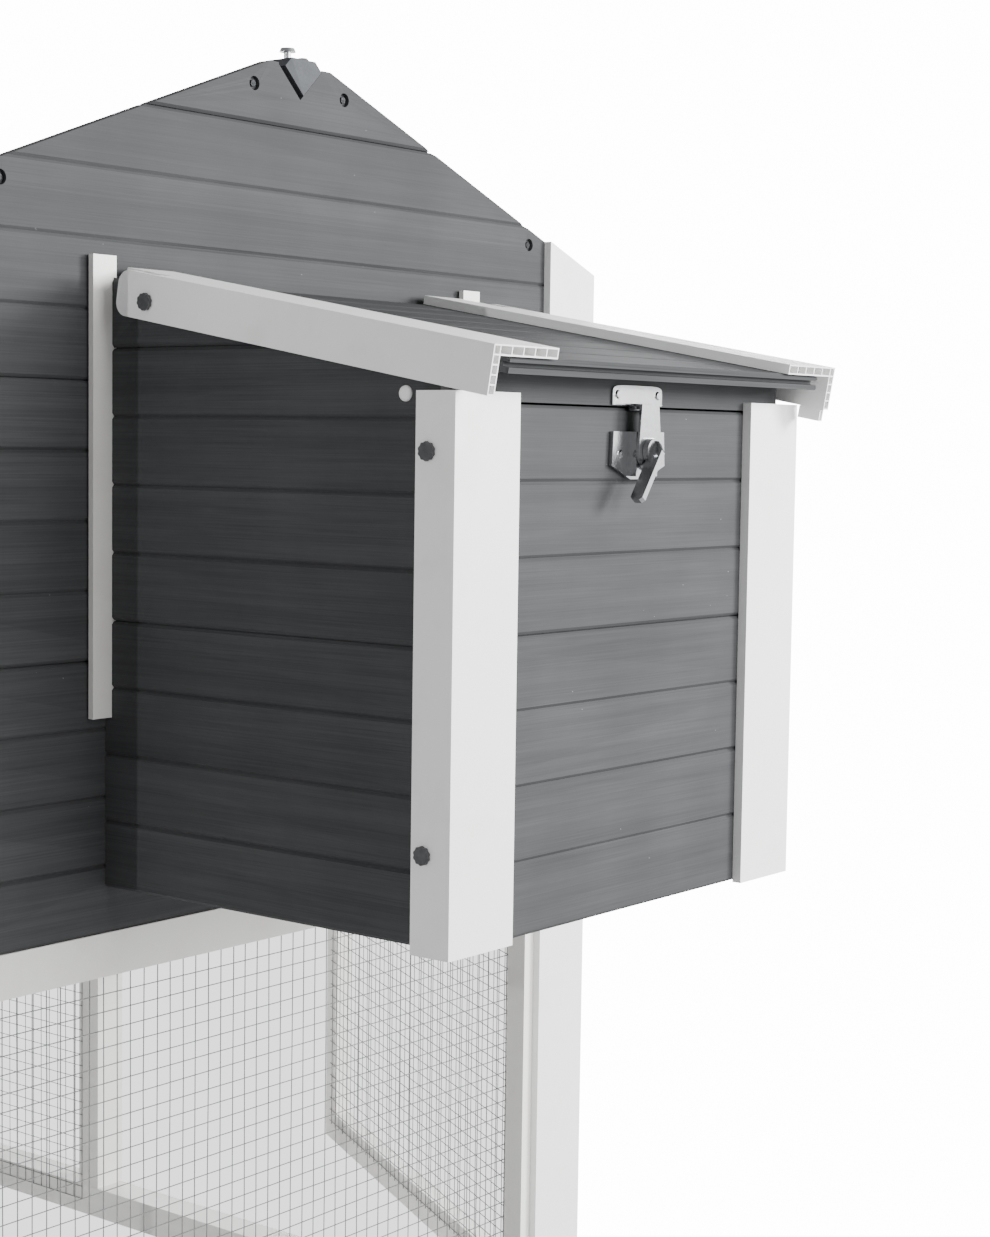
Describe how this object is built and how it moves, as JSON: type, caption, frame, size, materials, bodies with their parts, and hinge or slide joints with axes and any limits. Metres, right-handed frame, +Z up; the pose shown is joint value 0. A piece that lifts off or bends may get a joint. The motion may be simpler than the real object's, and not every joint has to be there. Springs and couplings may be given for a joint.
{
  "type": "chicken coop",
  "caption": "Raised hen house of grooved boards over a wire-mesh run, with an outside nest box under a sloping hinged lid and a side door to the run.",
  "frame": {"origin": "centre of the base of the bounding box, on the ground", "axes": "+Z up, +Y from the nest box along the ridge to the far end of the run, +X towards the run door's side"},
  "size_m": [1.5175, 2.292, 1.6213],
  "materials": {
    "grooved_board": "satin, fine streaks along the length",
    "white_trim": "satin",
    "white_frame": "satin",
    "welded_mesh": "galvanised",
    "zinc": "satin",
    "polished_steel": "polished",
    "dark_cap": "satin",
    "timber": "planed",
    "white_sheet": "satin"
  },
  "bodies": {
    "coop": {"front_left_post": "white_trim", "front_right_post": "white_trim", "rear_posts": "white_trim", "mid_posts": "white_frame", "front_run_frame": "white_frame", "front_run_mesh": "welded_mesh", "left_lower_frame": "white_frame", "left_lower_mesh": "welded_mesh", "door_surround": "white_frame", "left_run_frame": "white_frame", "left_run_mesh": "welded_mesh", "right_run_frame": "white_frame", "right_run_mesh": "welded_mesh", "rear_run_frame": "white_frame", "rear_run_mesh": "welded_mesh", "door_hinge_pins": "zinc", "bolt_keeper": "zinc", "front_gable_boards": "grooved_board", "rear_gable_boards": "grooved_board", "left_house_wall": "grooved_board", "right_house_wall": "grooved_board", "partition_boards": "grooved_board", "house_floor": "white_sheet", "pop_door_guides": "zinc", "ramp_hinge": "zinc", "house_perch": "timber", "ridge_block": "grooved_board", "ridge_beam": "grooved_board", "eave_rails": "white_frame", "roof_panel_left": "grooved_board", "roof_panel_right": "grooved_board", "ridge_cap": "grooved_board", "nest_left_side": "grooved_board", "nest_right_side": "grooved_board", "nest_front": "grooved_board", "nest_floor": "white_sheet", "nest_divider": "white_sheet", "nest_left_post": "white_trim", "nest_right_post": "white_trim", "nest_battens": "white_frame", "lid_pivots": "dark_cap", "latch_keeper": "polished_steel", "post_caps": "dark_cap", "gable_screws": "dark_cap", "ridge_screws": "zinc"},
    "lid": {"lid_panel": "grooved_board", "lid_left_rail": "white_trim", "lid_right_rail": "white_trim", "lid_skirt": "grooved_board", "latch_plate": "polished_steel"},
    "latch_strap": {"latch_strap": "polished_steel"},
    "latch_lever": {"latch_lever": "polished_steel"},
    "run_door": {"run_door_frame": "white_frame", "run_door_mesh": "welded_mesh", "door_hinge_leaves": "zinc", "door_bolt_guides": "zinc"},
    "door_bolt": {"door_bolt": "zinc"},
    "pop_door": {"pop_door": "white_sheet"},
    "ramp": {"ramp": "grooved_board"},
    "droppings_tray": {"droppings_tray": "zinc"}
  },
  "joints": [
    {"name": "lid_hinge", "type": "hinge", "parent": "coop", "child": "lid", "pos_m": [-0.17625, -0.71396, 1.33001], "axis": [-1, 0, 0], "range_deg": [0, 103]},
    {"name": "strap_hinge", "type": "hinge", "parent": "lid", "child": "latch_strap", "pos_m": [-0.17625, -1.09837, 1.2345], "axis": [-1, 0, 0], "range_deg": [0, 80]},
    {"name": "lever_turn", "type": "hinge", "parent": "latch_strap", "child": "latch_lever", "pos_m": [-0.17625, -1.10997, 1.192], "axis": [0, 1, 0], "range_deg": [-65, 95]},
    {"name": "run_door_hinge", "type": "hinge", "parent": "coop", "child": "run_door", "pos_m": [0.35775, -0.59297, 0.051], "axis": [0, 0, -1], "range_deg": [-29.3, 90]},
    {"name": "door_bolt_slide", "type": "slide", "parent": "run_door", "child": "door_bolt", "axis": [0.4894, 0.8721, 0], "range_m": [0, 0.044]},
    {"name": "pop_door_slide", "type": "slide", "parent": "coop", "child": "pop_door", "axis": [0, 0, 1], "range_m": [0, 0.3]},
    {"name": "ramp_hinge", "type": "hinge", "parent": "coop", "child": "ramp", "pos_m": [-0.17625, 0.26903, 0.681], "axis": [1, 0, 0], "range_deg": [0, 100]},
    {"name": "tray_slide", "type": "slide", "parent": "coop", "child": "droppings_tray", "axis": [1, 0, 0], "range_m": [0, 0.6]}
  ]
}
